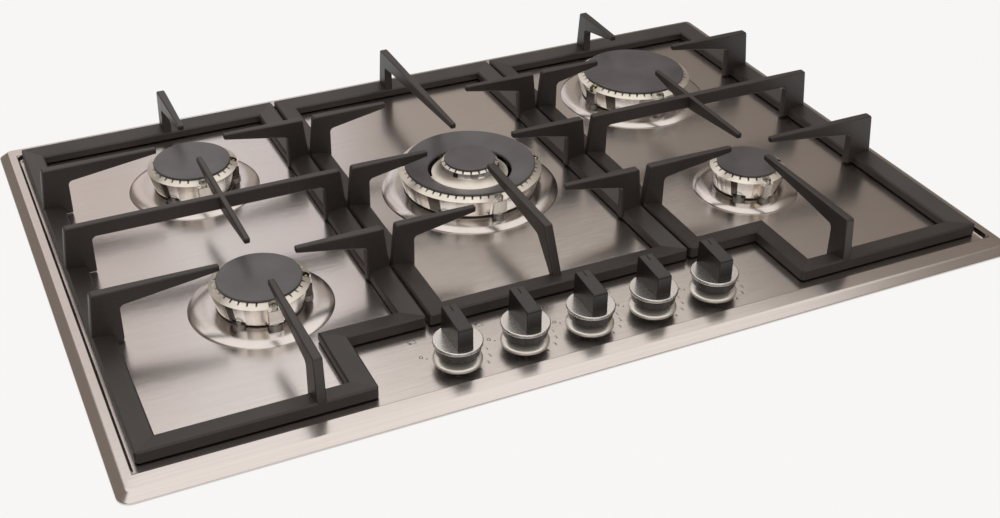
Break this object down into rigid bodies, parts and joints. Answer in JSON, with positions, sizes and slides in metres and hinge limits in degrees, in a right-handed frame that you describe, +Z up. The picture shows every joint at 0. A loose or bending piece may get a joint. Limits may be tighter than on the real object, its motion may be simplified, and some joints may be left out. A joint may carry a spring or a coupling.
{
  "type": "gas cooktop",
  "caption": "Built-in steel gas cooktop with lift-off cast pan supports, ordinary burners, a double-ring wok burner and push-and-turn knobs in a row at the front.",
  "frame": {"origin": "middle of the underside of the lower case, straight below the middle of the top plate", "axes": "+X to the right as seen from the knob side, +Y to the back, +Z up"},
  "size_m": [0.744, 0.51, 0.0951],
  "materials": {
    "satin_steel": "satin stainless sheet",
    "case_steel": "zinc-coated sheet",
    "enamelled_iron": "matte dark enamel",
    "cap_enamel": "matte grey enamel",
    "crown_aluminium": "turned and polished",
    "cast_aluminium": "as cast",
    "brass": "machined",
    "ceramic": "glazed",
    "bright_steel": "bright",
    "black_rubber": "matte",
    "knob_black": "gloss",
    "knob_silver": "satin",
    "dark_plastic": "matte",
    "tube_aluminium": "drawn"
  },
  "bodies": {
    "base": {"bottom_tray": "case_steel", "burner_cup_centre": "cast_aluminium", "burner_cup_left_front": "cast_aluminium", "burner_cup_left_rear": "cast_aluminium", "burner_cup_right_front": "cast_aluminium", "burner_cup_right_rear": "cast_aluminium", "burner_screws": "bright_steel", "case_screws": "bright_steel", "electrode_insulators": "ceramic", "electrode_pins": "bright_steel", "gas_injectors": "brass", "gas_inlet": "brass", "gas_rail": "tube_aluminium", "gas_valves": "cast_aluminium", "ignition_box": "dark_plastic", "knob_bezels": "satin_steel", "plate_brackets": "case_steel", "supply_tubes": "tube_aluminium", "terminal_block": "dark_plastic", "thermocouples": "bright_steel", "top_plate": "satin_steel", "worktop_clamps": "case_steel", "worktop_seal": "black_rubber"},
    "grate_left": {"grate_left": "enamelled_iron", "grate_left_feet": "black_rubber"},
    "grate_centre": {"grate_centre": "enamelled_iron", "grate_centre_feet": "black_rubber"},
    "grate_right": {"grate_right": "enamelled_iron", "grate_right_feet": "black_rubber"},
    "crown_left_rear": {"burner_crown_left_rear": "crown_aluminium"},
    "cap_left_rear": {"burner_cap_left_rear": "cap_enamel"},
    "crown_left_front": {"burner_crown_left_front": "crown_aluminium"},
    "cap_left_front": {"burner_cap_left_front": "cap_enamel"},
    "crown_centre": {"burner_crown_centre": "crown_aluminium"},
    "wok_ring_cap": {"wok_ring_cap": "cap_enamel"},
    "wok_inner_cap": {"wok_inner_cap": "cap_enamel"},
    "crown_right_rear": {"burner_crown_right_rear": "crown_aluminium"},
    "cap_right_rear": {"burner_cap_right_rear": "cap_enamel"},
    "crown_right_front": {"burner_crown_right_front": "crown_aluminium"},
    "cap_right_front": {"burner_cap_right_front": "cap_enamel"},
    "plug_1": {"valve_plug_1": "brass"},
    "knob_1": {"valve_spindle_1": "brass", "knob_body_1": "knob_black", "knob_disc_1": "knob_silver"},
    "plug_2": {"valve_plug_2": "brass"},
    "knob_2": {"valve_spindle_2": "brass", "knob_body_2": "knob_black", "knob_disc_2": "knob_silver"},
    "plug_3": {"valve_plug_3": "brass"},
    "knob_3": {"valve_spindle_3": "brass", "knob_body_3": "knob_black", "knob_disc_3": "knob_silver"},
    "plug_4": {"valve_plug_4": "brass"},
    "knob_4": {"valve_spindle_4": "brass", "knob_body_4": "knob_black", "knob_disc_4": "knob_silver"},
    "plug_5": {"valve_plug_5": "brass"},
    "knob_5": {"valve_spindle_5": "brass", "knob_body_5": "knob_black", "knob_disc_5": "knob_silver"}
  },
  "joints": [
    {"name": "grate_left_lift", "type": "slide", "parent": "base", "child": "grate_left", "axis": [0, 0, 1], "range_m": [0, 0.06]},
    {"name": "grate_centre_lift", "type": "slide", "parent": "base", "child": "grate_centre", "axis": [0, 0, 1], "range_m": [0, 0.06]},
    {"name": "grate_right_lift", "type": "slide", "parent": "base", "child": "grate_right", "axis": [0, 0, 1], "range_m": [0, 0.06]},
    {"name": "crown_left_rear_lift", "type": "slide", "parent": "base", "child": "crown_left_rear", "axis": [0, 0, 1], "range_m": [0, 0.005]},
    {"name": "cap_left_rear_lift", "type": "slide", "parent": "crown_left_rear", "child": "cap_left_rear", "axis": [0, 0, 1], "range_m": [0, 0.005]},
    {"name": "crown_left_front_lift", "type": "slide", "parent": "base", "child": "crown_left_front", "axis": [0, 0, 1], "range_m": [0, 0.005]},
    {"name": "cap_left_front_lift", "type": "slide", "parent": "crown_left_front", "child": "cap_left_front", "axis": [0, 0, 1], "range_m": [0, 0.005]},
    {"name": "crown_centre_lift", "type": "slide", "parent": "base", "child": "crown_centre", "axis": [0, 0, 1], "range_m": [0, 0.0035]},
    {"name": "wok_ring_cap_lift", "type": "slide", "parent": "crown_centre", "child": "wok_ring_cap", "axis": [0, 0, 1], "range_m": [0, 0.0035]},
    {"name": "wok_inner_cap_lift", "type": "slide", "parent": "crown_centre", "child": "wok_inner_cap", "axis": [0, 0, 1], "range_m": [0, 0.005]},
    {"name": "crown_right_rear_lift", "type": "slide", "parent": "base", "child": "crown_right_rear", "axis": [0, 0, 1], "range_m": [0, 0.005]},
    {"name": "cap_right_rear_lift", "type": "slide", "parent": "crown_right_rear", "child": "cap_right_rear", "axis": [0, 0, 1], "range_m": [0, 0.005]},
    {"name": "crown_right_front_lift", "type": "slide", "parent": "base", "child": "crown_right_front", "axis": [0, 0, 1], "range_m": [0, 0.005]},
    {"name": "cap_right_front_lift", "type": "slide", "parent": "crown_right_front", "child": "cap_right_front", "axis": [0, 0, 1], "range_m": [0, 0.005]},
    {"name": "knob_1_turn", "type": "hinge", "parent": "base", "child": "plug_1", "pos_m": [-0.11, -0.201, 0.02], "axis": [0, 0, 1], "range_deg": [0, 270]},
    {"name": "knob_1_push", "type": "slide", "parent": "plug_1", "child": "knob_1", "axis": [0, 0, -1], "range_m": [0, 0.003], "stiffness_N_per_m": 1500, "springref_m": -0.002},
    {"name": "knob_2_turn", "type": "hinge", "parent": "base", "child": "plug_2", "pos_m": [-0.055, -0.201, 0.02], "axis": [0, 0, 1], "range_deg": [0, 270]},
    {"name": "knob_2_push", "type": "slide", "parent": "plug_2", "child": "knob_2", "axis": [0, 0, -1], "range_m": [0, 0.003], "stiffness_N_per_m": 1500, "springref_m": -0.002},
    {"name": "knob_3_turn", "type": "hinge", "parent": "base", "child": "plug_3", "pos_m": [0, -0.201, 0.02], "axis": [0, 0, 1], "range_deg": [0, 270]},
    {"name": "knob_3_push", "type": "slide", "parent": "plug_3", "child": "knob_3", "axis": [0, 0, -1], "range_m": [0, 0.003], "stiffness_N_per_m": 1500, "springref_m": -0.002},
    {"name": "knob_4_turn", "type": "hinge", "parent": "base", "child": "plug_4", "pos_m": [0.055, -0.201, 0.02], "axis": [0, 0, 1], "range_deg": [0, 270]},
    {"name": "knob_4_push", "type": "slide", "parent": "plug_4", "child": "knob_4", "axis": [0, 0, -1], "range_m": [0, 0.003], "stiffness_N_per_m": 1500, "springref_m": -0.002},
    {"name": "knob_5_turn", "type": "hinge", "parent": "base", "child": "plug_5", "pos_m": [0.11, -0.201, 0.02], "axis": [0, 0, 1], "range_deg": [0, 270]},
    {"name": "knob_5_push", "type": "slide", "parent": "plug_5", "child": "knob_5", "axis": [0, 0, -1], "range_m": [0, 0.003], "stiffness_N_per_m": 1500, "springref_m": -0.002}
  ]
}
